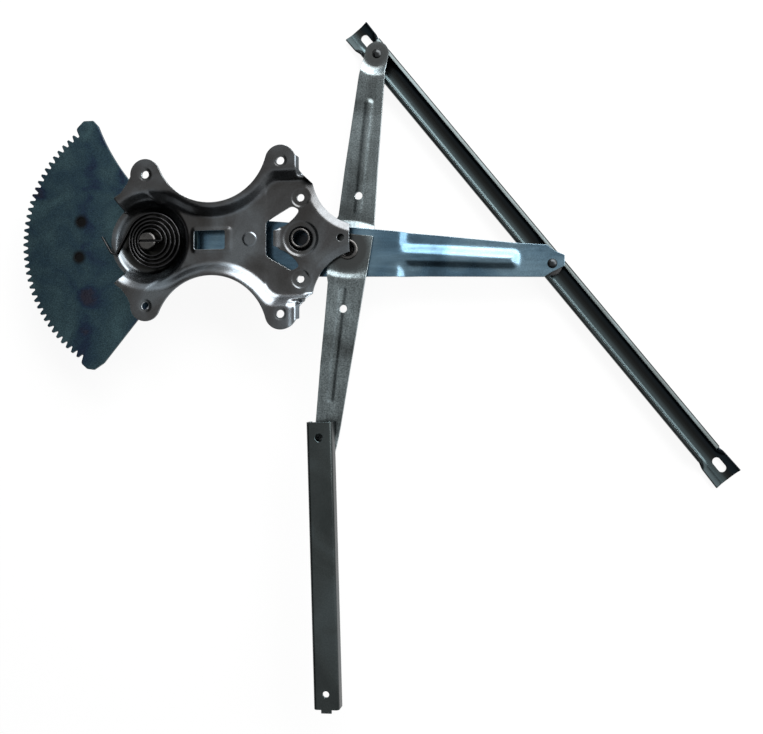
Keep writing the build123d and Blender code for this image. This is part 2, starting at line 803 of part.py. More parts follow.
# ---------------------------------------------------------------- channels
def channel(frame, width, before, after, bend, opens):
    """A lipped C channel along a plane's x axis, with its lips' faces on the plane.

    The bend is the outer radius between web and walls. The channel opens upwards where
    opens is 1 and downwards where it is -1.
    """
    half = width / 2
    across = Plane(origin=frame.origin, x_dir=frame.y_dir, z_dir=frame.x_dir)
    with BuildPart() as form:
        with BuildSketch(across.offset(-before)) as section:
            outline = [
                (-half, -channel_depth),
                (half, -channel_depth),
                (half, 0),
                (half - lip, 0),
                (half - lip, -channel_sheet),
                (half - channel_sheet, -channel_sheet),
                (half - channel_sheet, channel_sheet - channel_depth),
                (channel_sheet - half, channel_sheet - channel_depth),
                (channel_sheet - half, -channel_sheet),
                (lip - half, -channel_sheet),
                (lip - half, 0),
                (-half, 0),
            ]
            Polygon(*[(x, opens * z) for x, z in outline], align=None)
            levels = section.vertices().group_by(Axis.Y)[::opens]
            fillet(levels[1], bend - channel_sheet)
            fillet(levels[0], bend)
            fillet(section.vertices().filter_by(lambda v: abs(v.X) > half - 0.1 and v.Y == 0), lip_bend)
        extrude(amount=before + after)
    return form


glass_base = along(roller_d, glass_angle, glass_lip_top)
glass_form = channel(glass_base, glass_width, glass_before, glass_after, glass_bend, 1)
with BuildPart() as glass_channel:
    add(glass_form.part)
    # The lips end short of the web, which runs on as a dished tongue with a slot
    with BuildSketch(glass_base.offset(tongue_wall - channel_depth)):
        with Locations((-glass_before, 0)):
            Rectangle(2 * upper_tongue, 2 * glass_width)
        with Locations((glass_after, 0)):
            Rectangle(2 * lower_tongue, 2 * glass_width)
    extrude(amount=channel_depth, mode=Mode.SUBTRACT)
    with BuildSketch(glass_base):
        upper_slot = (upper_slot_inset - glass_before, slot_shift)
        lower_slot = (glass_after - lower_slot_inset, slot_shift)
        with Locations(upper_slot, lower_slot):
            SlotOverall(glass_slot_length, glass_slot_width)
    extrude(amount=-2 * channel_depth, mode=Mode.SUBTRACT)
glass_channel.part.label = "glass_channel"
export_step(glass_channel.part, "parts/glass_channel.step")

guide_base = along(roller_e, guide_angle, guide_lip_bottom)
guide_form = channel(guide_base, guide_width, guide_before, guide_after, guide_bend, -1)
with BuildPart() as guide_channel:
    add(guide_form.part)
    with BuildSketch(guide_base.offset(channel_depth)):
        with Locations((guide_after, 0)):
            Rectangle(6, 9)
    extrude(amount=-channel_sheet)
    with BuildSketch(guide_base):
        with Locations((guide_hole_inset - guide_before, 0)):
            Circle(guide_upper_hole)
        with Locations((guide_after - guide_hole_inset, 0)):
            Circle(guide_lower_hole)
    extrude(amount=2 * channel_depth, mode=Mode.SUBTRACT)
guide_channel.part.label = "guide_channel"
export_step(guide_channel.part, "parts/guide_channel.step")
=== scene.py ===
# %% [markdown]
# # An X-arm window regulator
# A window regulator is the linkage that lifts a car door's glass. The imported model gives every
# part its place, so nothing is fitted by hand later. This cell loads it and keeps its outer
# box, which later sets the table's level.

# %% Load the model
import json
from math import atan2, cos, degrees, pi, radians, sin

import bmesh
import bpy
import numpy as np
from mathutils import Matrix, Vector
from mathutils.geometry import delaunay_2d_cdt


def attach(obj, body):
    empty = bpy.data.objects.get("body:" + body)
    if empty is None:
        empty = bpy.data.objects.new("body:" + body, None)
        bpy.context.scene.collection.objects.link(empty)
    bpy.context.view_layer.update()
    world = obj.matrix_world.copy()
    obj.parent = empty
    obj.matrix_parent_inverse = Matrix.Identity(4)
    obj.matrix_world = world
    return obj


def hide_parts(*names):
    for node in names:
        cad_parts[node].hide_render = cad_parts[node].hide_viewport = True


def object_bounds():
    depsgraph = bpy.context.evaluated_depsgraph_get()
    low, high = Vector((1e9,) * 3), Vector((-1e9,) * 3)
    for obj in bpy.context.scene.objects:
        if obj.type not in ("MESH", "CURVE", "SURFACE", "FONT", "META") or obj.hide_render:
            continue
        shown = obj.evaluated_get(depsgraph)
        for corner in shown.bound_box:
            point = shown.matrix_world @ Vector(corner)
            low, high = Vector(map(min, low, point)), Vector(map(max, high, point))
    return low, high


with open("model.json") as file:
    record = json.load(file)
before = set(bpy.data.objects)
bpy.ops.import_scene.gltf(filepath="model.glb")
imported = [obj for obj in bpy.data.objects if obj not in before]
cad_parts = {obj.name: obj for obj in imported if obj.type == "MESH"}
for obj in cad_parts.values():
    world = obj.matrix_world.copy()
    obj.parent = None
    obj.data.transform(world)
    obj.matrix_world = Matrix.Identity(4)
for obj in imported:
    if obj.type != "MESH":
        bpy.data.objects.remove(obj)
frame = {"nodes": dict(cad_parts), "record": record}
cad_box = [list(corner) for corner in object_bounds()]
nodes = frame["nodes"]
slot_of = {part["node"]: part["material_slot"] for part in frame["record"]["subparts"]}
bpy.context.scene.view_settings.view_transform = "Standard"
print("nodes:", len(nodes), "box:", cad_box)

# %% [markdown]
# ## Camera
# The regulator lies on a table and is looked at from almost straight above. A tilt of a few
# degrees to the right shows the inner faces of the channel walls. The lens is a little long,
# but near enough that the raised ears look slightly larger than the parts below.


# %% Camera
def add_object(name, data):
    """A new object in the scene that shows a mesh, a lamp or a camera."""
    new_object = bpy.data.objects.new(name, data)
    bpy.context.scene.collection.objects.link(new_object)
    return new_object


camera = add_object("camera", bpy.data.cameras.new("camera"))
camera.location = (0.31566, -0.11082, 0.71308)
camera.rotation_euler = (0, radians(8.5), 0)
camera.data.lens = 40.62
camera.data.clip_end = 20
bpy.context.scene.camera = camera
print("camera at", tuple(camera.location))

# %% [markdown]
# ## Outlines of the blanks
# Each pressed part starts as a flat blank. Its outline could be a long list of points, but a
# tool drawing is made of arcs and corners, and those stay easy to read and change. So the
# outlines are drawn in millimetres from a few arcs and rounded corners.

# %% Arcs and corners
mm = 0.001


def arc(centre, radius, start, end, step=1.0):
    """Points along an arc, in millimetres and degrees."""
    count = max(3, int(abs(radians(end - start)) * radius / step) + 2)
    turns = np.radians(np.linspace(start, end, count))
    return [(centre[0] + radius * cos(t), centre[1] + radius * sin(t)) for t in turns]


def circle(centre, radius, step=0.7):
    """A closed circle as a loop of points."""
    return arc(centre, radius, 0, 360, step)[:-1]


def rounded(corners, radius):
    """A closed loop with each corner rounded by a short curve."""
    loop = []
    count = len(corners)
    for index, corner in enumerate(corners):
        corner = np.array(corner, float)
        before = np.array(corners[index - 1], float) - corner
        after = np.array(corners[(index + 1) % count], float) - corner
        reach = min(radius, 0.45 * np.linalg.norm(before), 0.45 * np.linalg.norm(after))
        first = corner + before / np.linalg.norm(before) * reach
        last = corner + after / np.linalg.norm(after) * reach
        for t in np.linspace(0, 1, 7):
            loop.append(tuple((1 - t) ** 2 * first + 2 * t * (1 - t) * corner + t**2 * last))
    return loop


print("a rounded square has", len(rounded([(0, 0), (1, 0), (1, 1), (0, 1)], 0.2)), "points")

# %% [markdown]
# ## Outlines in place
# The base plate is the same above and below its middle line, so half of it is enough. A bar
# is easiest to draw along its own line, with its pivot at the origin. It is then turned to
# the angle at which it lies, and its press form asks for the opposite turn.


# %% Outlines in place
def mirrored(half):
    """A closed loop from its upper half, given from right to left."""
    return half + [(x, -y) for x, y in reversed(half) if abs(y) > 0.01]


def turned(loop, origin, angle):
    """A loop drawn along a bar, moved to the bar's origin and angle."""
    c, s = cos(radians(angle)), sin(radians(angle))
    return [(origin[0] + c * x - s * y, origin[1] + s * x + c * y) for x, y in loop]


def local_place(x, y, origin, angle):
    """The opposite of turned: a point's place along and across a bar."""
    c, s = cos(radians(angle)), sin(radians(angle))
    dx, dy = x - origin[0], y - origin[1]
    return c * dx + s * dy, c * dy - s * dx


print("10 mm along a bar at 90 degrees is", turned([(10, 0)], (0, 0), 90)[0])

# %% [markdown]
# ## How far inside an outline
# Many forms on a pressing follow an outline at a distance: a wall, a frame, a rib. Boolean
# cuts could make them, but a distance that is known at every point gives soft forms too. It
# is the distance to the nearest edge, counted as negative outside the loop.


# %% Distance inside an outline
def dense(loop, step):
    """The same closed loop with no edge longer than a step."""
    points = []
    for (ax, ay), (bx, by) in zip(loop, loop[1:] + loop[:1]):
        parts = max(1, int(np.hypot(bx - ax, by - ay) / step))
        points += [(ax + (bx - ax) * k / parts, ay + (by - ay) * k / parts) for k in range(parts)]
    return points


def inside_distance(x, y, loop):
    """How far points lie inside a closed loop; negative outside it."""
    nearest = np.full(x.shape, np.inf)
    inside = np.zeros(x.shape, bool)
    for (ax, ay), (bx, by) in zip(loop, loop[1:] + loop[:1]):
        dx, dy = bx - ax, by - ay
        share = np.clip(((x - ax) * dx + (y - ay) * dy) / max(dx * dx + dy * dy, 1e-12), 0, 1)
        nearest = np.minimum(nearest, (x - ax - share * dx) ** 2 + (y - ay - share * dy) ** 2)
        if ay != by:
            inside ^= ((ay > y) != (by > y)) & (x < dx * (y - ay) / dy + ax)
    return np.where(inside, 1.0, -1.0) * np.sqrt(nearest)


square = [(0, 0), (10, 0), (10, 10), (0, 10)]
middle = np.array([5.0])
print("a 10 mm square's middle is", inside_distance(middle, middle, square)[0], "mm inside")

# %% [markdown]
# ## Soft steps
# A press draws flat sheet into smooth walls. Boxes and bevels would give hard folds, so each
# part is instead a fine net over its blank, lifted to a height that is written as a formula.
# Soft steps give the drawn walls, and soft minima join them without a crease.


# %% Soft steps
def ease(share):
    """A soft step from 0 to 1."""
    share = np.clip(share, 0, 1)
    return share * share * (3 - 2 * share)


def soft_min(a, b, width):
    """The smaller of two heights, with the crease between them rounded."""
    h = np.clip(0.5 + 0.5 * (b - a) / width, 0, 1)
    return b * (1 - h) + a * h - width * h * (1 - h)


def soft_max(a, b, width):
    """The larger of two heights, with the crease between them rounded."""
    return -soft_min(-a, -b, width)


def wall(distance, width, soft):
    """A drawn wall from 0 to 1 over a width, straight with rounded foot and shoulder."""
    return soft_max(soft_min(distance, width, soft), 0 * distance, soft) / width


print("a wall at a quarter, half and three quarters:", wall(np.array([1.0, 2.0, 3.0]), 4.0, 1.0))

# %% [markdown]
# ## Filling a blank
# The net has to follow the outline and every hole exactly, and be fine enough inside for soft
# walls. A constrained triangulation does both: it keeps the loops as edges and joins them to
# a square grid of points. Triangles that fall in a hole are dropped.


# %% Fill a blank
def blank_points(loops, spacing):
    """The loops' own points, then the grid points that lie clear of every loop."""
    border = np.array([point for loop in loops for point in loop])
    low, high = border.min(0), border.max(0)
    grid = np.mgrid[low[0] : high[0] : spacing, low[1] : high[1] : spacing].reshape(2, -1)
    keep = inside_distance(grid[0], grid[1], loops[0]) > 0.5 * spacing
    for hole in loops[1:]:
        keep &= inside_distance(grid[0], grid[1], hole) < -0.5 * spacing
    return np.vstack([border, grid[:, keep].T])


def cut_blank(outline, holes, spacing):
    """Triangles that fill an outline around its holes, and the directed edges of its rim."""
    loops = [dense(loop, spacing * 1.1) for loop in [outline, *holes]]
    points = blank_points(loops, spacing)
    edges, start = [], 0
    for loop in loops:
        edges += [(start + k, start + (k + 1) % len(loop)) for k in range(len(loop))]
        start += len(loop)
    made = delaunay_2d_cdt([tuple(p) for p in points], edges, [], 0, 1e-7, False)
    flat = np.array([tuple(p) for p in made[0]])
    triangles = np.array([tuple(face) for face in made[2]])
    centres = flat[triangles].mean(1)
    keep = inside_distance(centres[:, 0], centres[:, 1], loops[0]) > 0
    for hole in loops[1:]:
        keep &= inside_distance(centres[:, 0], centres[:, 1], hole) < 0
    used, triangles = np.unique(triangles[keep], return_inverse=True)
    triangles = triangles.reshape(-1, 3)
    directed = {(a, b) for t in triangles for a, b in ((t[0], t[1]), (t[1], t[2]), (t[2], t[0]))}
    rim = [(a, b) for a, b in directed if (b, a) not in directed]
    return flat[used], triangles, rim


washer = cut_blank(circle((0, 0), 6.0), [circle((0, 0), 3.0)], 1.0)
print("a washer's blank has", len(washer[1]), "triangles")

# %% [markdown]
# ## From blank to sheet
# Real sheet has the same thickness everywhere. A Solidify modifier could add the back, but it
# moves points sideways, and a fine net then crosses itself in tight bends. So the back lies
# straight below the front, further down where the wall is steep, and a rim closes the piece.


# %% From blank to sheet
def shade_smooth(mesh, sharp_angle):
    """Smooth shading, kept crisp over edges sharper than an angle in degrees."""
    mesh.polygons.foreach_set("use_smooth", [True] * len(mesh.polygons))
    mesh.set_sharp_from_angle(angle=radians(sharp_angle))


def sheet_piece(name, blank, front, back):
    """A closed sheet from a blank's triangles and the places of its front and back."""
    flat, triangles, rim = blank
    count = len(flat)
    faces = [tuple(t) for t in triangles]
    faces += [tuple(t[::-1] + count) for t in triangles]
    faces += [(b, a, a + count, b + count) for a, b in rim]
    faces = [list(map(int, face)) for face in faces]
    mesh = bpy.data.meshes.new(name)
    mesh.from_pydata((np.vstack([front, back]) * mm).tolist(), [], faces)
    mesh.validate()
    shape = bmesh.new()
    shape.from_mesh(mesh)
    bmesh.ops.recalc_face_normals(shape, faces=shape.faces)
    shape.to_mesh(mesh)
    shape.free()
    shade_smooth(mesh, 50)
    print(name, "faces:", len(mesh.polygons))
    return add_object(name, mesh)


def pressed_sheet(name, outline, holes, form, thickness, spacing=0.8, step=0.05):
    """A blank pressed to a height formula."""
    blank = cut_blank(outline, holes, spacing)
    x, y = blank[0].T
    slope_x = (form(x + step, y) - form(x - step, y)) / (2 * step)
    slope_y = (form(x, y + step) - form(x, y - step)) / (2 * step)
    height = form(x, y)
    depth = thickness * np.sqrt(1 + slope_x**2 + slope_y**2)
    front = np.column_stack([x, y, height])
    return sheet_piece(name, blank, front, np.column_stack([x, y, height - depth]))


# %% [markdown]
# ## Base plate: its blank
# The real plate is a deep pressing in the shape of an hourglass, with four ears that bolt to
# the door. Its blank is one mirrored loop of arcs, with a window, a C-shaped opening round
# the motor's tongue, and round holes for the spring's stud, the motor and the bolts.

# %% Base plate outline
left_ear, right_ear = (0.0, 57.35), (121.6, 65.4)
scallop, nose_cut, motor = (59.4, 82.5), (192.0, 56.0), (137.28, 0.0)
ear_radius, ear_hole, motor_screw_hole, motor_screw_reach = 13.5, 3.4, 3.2, 35
plate_half = (
    [(179.7, 0.0), (179.7, 12.0)]
    + arc(nose_cut, 45.7, 254.4, 190.7)
    + [(138.5, 55.5), (136.4, 58.5), (136.4, 69.0)]
    + arc(right_ear, ear_radius, 20, 164.5)
    + arc(scallop, 51.0, -15.3, -157.0)
    + arc(left_ear, ear_radius, 22.9, 185.8)
    + [(-16.5, 49.5), (-22.3, 41.9), (-30.8, 36.1), (-24.0, 28.1)]
    + arc((0.0, 0.0), 36.0, 131.5, 180)
)
plate_outline = mirrored(plate_half)
opening = [(106.8, 14.5), (111.6, 17.8), (129.5, 28.0), (136.5, 24.2), (132.5, 18.3)]
opening += [(124.0, 11.0), (118.5, 9.5), (117.0, 7.2), (114.0, 7.0)]
plate_holes = [
    rounded([(42.4, -8.25), (70.4, -8.25), (70.4, 8.25), (42.4, 8.25)], 2.0),
    rounded(opening + [(x, -y) for x, y in reversed(opening)], 3.0),
    circle((0.0, 0.0), 6.5),
    circle(motor, 8.4),
]
screw_steps = ((0, motor_screw_reach), (0, -motor_screw_reach), (motor_screw_reach, 0))
plate_holes += [circle((motor[0] + x, y), motor_screw_hole) for x, y in screw_steps]
for ear in (left_ear, right_ear):
    plate_holes += [circle((ear[0], side * ear[1]), ear_hole) for side in (1, -1)]
print("plate outline:", len(plate_outline), "points, holes:", len(plate_holes))

# %% [markdown]
# ## Base plate: pan and spring pocket
# Between the ears a pan is drawn down with soft walls, and a round pocket for the spring goes
# deeper still. The pan's rim is a circle, a waist and a wide end, joined softly, with the two
# scallops cut back into them. Where the spring's leg leaves, the rim is pressed low.

# %% Pan and pocket
pan_depth, pan_wall, pan_radius, pan_half_width = 8.0, 9.7, 44, 59.5
pocket_depth, pocket_wall, pocket_radius = 7.2, 9.0, 36.0
leg_level, leg_start_angle = -10.6, 127


def pan_inside(x, across):
    """How far a point lies inside the pan's rim."""
    waist = soft_min(x, pan_radius - across, 2)
    pan = soft_max(pan_radius - np.hypot(x, across), waist, 4)
    pan = soft_max(pan, soft_min(x - 35, pan_half_width - across, 4), 6)
    return soft_min(pan, np.hypot(x - scallop[0], across - scallop[1]) - 53.0, 7)


def pan_form(x, across):
    """The height of the pan, the pocket and the low rim beside the spring's leg."""
    height = -pan_depth * wall(pan_inside(x, across) - 0.8, pan_wall, 3.0)
    height -= pocket_depth * wall(pocket_radius - np.hypot(x, across), pocket_wall, 2.5)
    leg_side = ease((np.degrees(np.arctan2(across, x)) - leg_start_angle) / 5)
    lowered = soft_min(height, np.full(x.shape, leg_level), 1.5)
    return height + leg_side * (lowered - height)


pan_row = pan_form(np.array([0.0, 30.0, 90.0]), np.zeros(3))
print("heights at the stud, in the waist and at the button:", pan_row.round(2))

# %% [markdown]
# ## Base plate: motor end and small forms
# Small drawn forms stiffen the sheet and seat what is bolted to it: a dish round the motor's
# shaft, a seat under each motor screw, a raised frame round the window, a button, and a
# dimple round each ear hole. Each is a soft step in the distance from its middle or edge.

# %% Motor end and small forms
button = (92.4, 0.0)
window_frame = rounded([(39.0, -12.5), (78.0, -12.5), (78.0, 12.5), (39.0, 12.5)], 6.0)


def motor_form(x, across):
    """The step before the motor's end, the dish round its shaft and the seats of its screws."""
    height = -0.6 * ease((x - 105.5) / 3) * ease((pan_inside(x, across) - 6) / 5)
    from_shaft = np.hypot(x - motor[0], across)
    height -= 1.3 * ease((16.5 - from_shaft) / 3.6) + 2.4 * ease((11.2 - from_shaft) / 2.8)
    from_screw = np.hypot(x - motor[0], across - motor_screw_reach)
    return height - 0.9 * ease((9.0 - from_screw) / 2.6)


def small_form(x, across):
    """The window's frame, the button and the dimples round the ear holes."""
    height = 1.7 * wall(inside_distance(x, across, window_frame), 4.4, 1.2)
    height += 0.9 * ease((6.6 - np.hypot(x - button[0], across)) / 1.6)
    for ear in (left_ear, right_ear):
        from_hole = np.hypot(x - ear[0], across - ear[1])
        height -= 0.7 * wall(6.0 - from_hole, 1.8, 0.6)
    return height


dish = -motor_form(np.array([motor[0]]), np.zeros(1))[0]
print("the motor's dish lies", dish.round(2), "mm below the pan")

# %% [markdown]
# ## Base plate: edges and tongue
# At the nose the edge is turned down as a skirt, and beside the right ears it falls in two
# short walls, which start earlier on the near side. The tongue by the motor's shaft rises
# again. With these the whole plate is one formula, pressed in a single call.


# %% Press the base plate
def edge_form(x, y, height):
    """The height with the nose's skirts, the falls beside the ears and the rising tongue."""
    across, near_side = np.abs(y), y < 0
    skirt = 52.6 - np.hypot(x - nose_cut[0], across - nose_cut[1])
    height = height - 0.43 * soft_max(skirt, 0 * x, 1.6) * ease((49.5 - across) / 3)
    fall = 1.6 * wall(x - np.where(near_side, 127.6, 134.8), 4.6, 1.4)
    fall += 2.8 * wall(x - np.where(near_side, 133.6, 134.8), 3.0, 0.8)
    height -= 1.5 * fall * ease((across - 51) / 4) * ease((height + 7) / 4)
    tongue = wall(121.0 - x, 6.0, 1.5) * ease((9.5 - across) / 2) * ease((x - 109) / 3)
    return height + 3.0 * tongue


def plate_form(x, y):
    """The height of the plate's front over its blank."""
    across = np.abs(y)
    height = pan_form(x, across) + motor_form(x, across) + small_form(x, across)
    return edge_form(x, y, height)


plate = pressed_sheet("base_plate_pressing", plate_outline, plate_holes, plate_form, 2.0)
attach(plate, "base")
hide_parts("base_plate")

# %% [markdown]
# ## Lift arm
# The long arm carries the sector at its tail and a roller at its tip. Past the crossing it
# steps down, and a rib runs on at full height to keep it stiff. The rib isn't a separate
# part added on top: step and rib are one soft maximum, so they flow into each other.

# %% Lift arm
crossing, lift_roller_place = (177.024, -9.339), (350.765, -23.532)
rivet_places = [(-68.5, 20.5), (-70.5, -11.5)]
lift_angle = degrees(atan2(lift_roller_place[1], lift_roller_place[0]))
arm_low, arm_step, arm_step_place = -25, 5, 228.0
arm_outline = arc((-72, 13), 14, 90, 180) + arc((-72, -13), 14, 180, 270)
arm_outline += [(154.7, -21.9), (215, -18.7), (240, -16.8), (345.5, -11.6), (350.2, -8.0)]
arm_outline += [(361.9, -1.3), (361.3, 7.6), (353.5, 10.5), (346.1, 15.6), (321, 15.8)]
arm_outline += [(258, 18.9), (176.7, 22.2), (104, 24.5)]
arm_rib = rounded([(196, -10.9), (324.8, -7.8), (324.8, 10.1), (196, 10.9)], 9.0)


def arm_form(x, y):
    """The step past the crossing and the rib that runs on over it."""
    along, across = local_place(x, y, (0, 0), lift_angle)
    raised = soft_max(arm_step_place - along, inside_distance(along, across, arm_rib), 7)
    return arm_low + arm_step * wall(raised, 7.7, 2.6)


arm_loop = turned(arm_outline, (0, 0), lift_angle)
arm_holes = [circle((0, 0), 8.5), circle(crossing, 7.05), circle(lift_roller_place, 3.5)]
arm_holes += [circle(place, 3.9) for place in rivet_places]
arm = pressed_sheet("lift_arm_pressing", arm_loop, arm_holes, arm_form, 2.5)
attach(arm, "lift")
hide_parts("lift_arm")

# %% [markdown]
# ## A cranked bar
# Two shorter bars are riveted together with the lift arm between them. Each is cranked beside
# the crossing and again in front of its roller, along arcs round those two points. One
# function makes both bars, because only their outlines, levels and ribs differ.


# %% A cranked bar
def bead(along, across, line, half_width):
    """A rounded rib or groove along a line, from 0 at its edge to 1 on its crest."""
    (ax, ay), (bx, by) = line
    dx, dy = bx - ax, by - ay
    share = np.clip(((along - ax) * dx + (across - ay) * dy) / (dx * dx + dy * dy), 0, 1)
    away = np.hypot(along - ax - share * dx, across - ay - share * dy)
    return ease((half_width - away) / half_width)


def cranked_form(x, y, angle, length, levels, cranks, line, rib):
    """Levels are those of the pad, the body and the roller's end; a rib is (height, width)."""
    pad, body, end = levels
    along, across = local_place(x, y, crossing, angle)
    from_pad = wall(np.hypot(along, across * 0.6) - cranks[0], 6.6, 2.0)
    from_end = wall(np.hypot(length - along, across) - cranks[1], 6.8, 2.0)
    from_end = np.where(along > length, 0, from_end)
    height = pad + (body - pad) * from_pad + (end - body) * (1 - from_end) * from_pad
    return height + rib[0] * bead(along, across, line, rib[1])


def equalizer_half(name, angle, length, left, right, end_radius, hole, **form):
    """A cranked bar that lies at an angle from the crossing, with three holes."""
    end_turn = 80 if left[0][1] > 0 else -80
    outline = left + arc((length, 0), end_radius, end_turn, -end_turn) + right[::-1]
    holes = [circle((0, 0), 7.0), circle((length, 0), 3.5), circle(hole, 3.4)]
    return pressed_sheet(
        name, turned(outline, crossing, angle), [turned(loop, crossing, angle) for loop in holes],
        lambda x, y: cranked_form(x, y, angle, length, **form), 2.2,
    )


crest = bead(np.array([5.0]), np.zeros(1), [(0, 0), (10, 0)], 2.0)[0]
print("a bead's crest is", crest, "and its edge lies 2 mm away")

# %% [markdown]
# ## Equalizer halves
# The upper half lies behind the lift arm and the lower half in front of it, so their levels
# differ. A narrow rib stands up on one and is sunk into the other. Their outlines taper from
# the crossing's square pad to the roller's round end.

# %% Equalizer halves
upper_half = equalizer_half(
    "equalizer_upper_pressing", angle=82.33, length=174.32, end_radius=10.6, hole=(48.6, -1.3),
    left=[(-15.3, 19), (20.5, 18), (29.6, 14.3), (69.8, 14.2), (105, 13.5), (153, 12.7)],
    right=[(-15.3, -19), (20, -19), (27.1, -18.1), (72.7, -14.9), (107.4, -12.9), (161.1, -9.6)],
    levels=(-23.5, -27.8, -31.2), cranks=(19.6, 12.6),
    line=[(36.2, -2.5), (129.0, 0.3)], rib=(1.3, 5.6),
)
lower_half = equalizer_half(
    "equalizer_lower_pressing", angle=263.13, length=177.27, end_radius=10.4, hole=(51.4, 2.7),
    left=[(-13.5, -16), (20.5, -16), (30.5, -13.4), (64.6, -12.3), (98.9, -11.6), (150, -9.6)],
    right=[(-13.5, 20.7), (21.1, 19.0), (73.4, 16.5), (105.5, 14.8), (152.3, 12.6), (169, 11.4)],
    levels=(-16.8, -14.2, -12.6), cranks=(19.6, 12.6),
    line=[(35.6, 0.1), (130.0, 0.3)], rib=(-1.2, 5.0),
)
for half, node in ((upper_half, "equalizer_upper_arm"), (lower_half, "equalizer_lower_arm")):
    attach(half, "equalizer")
    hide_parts(node)

# %% [markdown]
# ## Folding a strip
# A channel is rolled from a flat strip, so it is made the same way: the blank is drawn flat
# with its slots and its narrower ends, and each point is then folded round the section. A
# place across the strip becomes a place along web, bend, wall and lip. At a tongue the bend
# relaxes, so that the wall fades into a shallow dish.

# %% Fold a strip
half_sheet = 0.75


def fold(across, relaxed, width, depth, bend, lip, lip_bend, tilt=0.0, flare=(0.0, 0.0)):
    """Section place and outward direction for a place across the strip, web at the bottom."""
    half, foot = width / 2 - half_sheet, half_sheet - depth
    side = np.sign(across) + (across == 0)
    run = np.abs(across)
    web = half - bend
    bend = bend / (1 - 0.62 * relaxed)
    straight = np.maximum(-half_sheet - lip_bend - tilt * lip - foot - bend, 0)
    first = np.clip((run - web) / bend, 0, pi / 2)
    rise = np.clip(run - web - bend * pi / 2, 0, straight)
    run = run - web - bend * pi / 2 - straight
    second = np.clip(run / lip_bend, 0, pi / 2 - tilt)
    inward = np.clip(run - lip_bend * (pi / 2 - tilt), 0, lip)
    turn = first + second
    y = np.minimum(np.abs(across), web) + bend * np.sin(first) - lip_bend * (1 - np.cos(second))
    z = foot + bend * (1 - np.cos(first)) + rise + lip_bend * np.sin(second)
    y, z = y + inward * np.cos(turn), z + inward * np.sin(turn)
    y = y + np.where(side > 0, flare[1], flare[0]) * (z - foot) / depth
    return side * y, z, side * np.sin(turn), -np.cos(turn)


def folded_channel(name, origin, angle, height, opens, outline, holes, ends, **section):
    """A flat strip folded to a channel along a line; it opens up (1) or down (-1)."""
    blank = cut_blank(outline, holes, 0.9)
    along, across = blank[0].T
    relaxed = np.maximum(ease((ends[0] - along) / 9), ease((along - ends[1]) / 9))
    y, z, out_y, out_z = fold(across, relaxed, **section)
    sides = []
    for reach in (half_sheet, -half_sheet):
        place = np.array(turned(list(zip(along, y + out_y * reach)), origin, angle))
        sides.append(np.column_stack([place, height + opens * (z + out_z * reach)]))
    return sheet_piece(name, blank, *sides)


common_section = {"width": 21.8, "depth": 12.0, "lip": 2.9, "lip_bend": 1.05}
lip_edge = fold(np.array([19.6]), 0.0, bend=6.8, **common_section)
print("the lip's edge lies", lip_edge[0][0].round(2), "mm from the channel's middle")

# %% [markdown]
# ## Glass channel
# The long channel holds the glass and both rollers run in it. It opens towards the viewer,
# has soft bends at its web, lips that lean inwards, and a slotted tongue at each end. Walls
# and lips end where the strip is cut narrower, so one outline gives walls and tongues.


# %% Glass channel
def slot_loop(place, length, width):
    """A slot with round ends, along the strip."""
    x, y, r = place[0], place[1], width / 2
    half = length / 2 - r
    return arc((x + half, y), r, -90, 90, 0.6) + arc((x - half, y), r, 90, 270, 0.6)


glass_start, glass_line = (200.290, 163.421), -51.17
full, upper_ledge, lower_ledge = 19.6, 12.2, 12.6
glass_strip = [(-32.7, -upper_ledge), (-32.7, upper_ledge), (-12.0, 11.6), (-10.6, 13.1)]
glass_strip += [(-10.6, full), (445.1, full), (445.1, 13.1), (446.5, 11.6), (472.5, lower_ledge)]
glass_strip += [(472.5, -lower_ledge), (446.5, -11.6), (445.1, -13.1), (445.1, -full)]
glass_strip += [(-10.6, -full), (-10.6, -13.1), (-12.0, -11.6)]
glass = folded_channel(
    "glass_channel_strip", glass_start, glass_line, -33.8, 1, glass_strip,
    [slot_loop((-19.0, 1.8), 14, 7), slot_loop((459.0, 1.8), 14, 7)],
    ends=(-12.0, 446.0), bend=6.8, tilt=radians(16), **common_section,
)
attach(glass, "glass")
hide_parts("glass_channel")

# %% [markdown]
# ## Guide channel
# The short channel is bolted to the door and keeps the equalizer's lower roller level. It
# lies with its web towards the viewer, so its bends are the crisp edges that one sees. Its
# ends are cut straight, apart from a small tab at the lower one.

# %% Guide channel
guide_start, guide_line, guide_full = (155.819, -185.337), -88.4, 21.6
guide_strip = [(-27.8, -guide_full), (-27.8, guide_full), (215.9, guide_full), (215.9, 4.5)]
guide_strip += [(218.8, 4.5), (218.8, -4.5), (215.9, -4.5), (215.9, -guide_full)]
guide = folded_channel(
    "guide_channel_strip", guide_start, guide_line, -12.2, -1, guide_strip,
    [circle((-14.6, 0), 3.6), circle((202.7, 0), 2.8)],
    ends=(-900.0, 900.0), bend=1.75, flare=(0.0, 1.2), **common_section,
)
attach(guide, "guide")
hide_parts("guide_channel")

# %% [markdown]
# ## Sweeping the spring's strip
# The counterbalance spring is a flat strip wound on edge: from above only its thin edge
# shows, as a row of dark rings that catch light on their rounded corners. A bevelled curve
# would twist, so the section is swept by hand and stays upright all along.


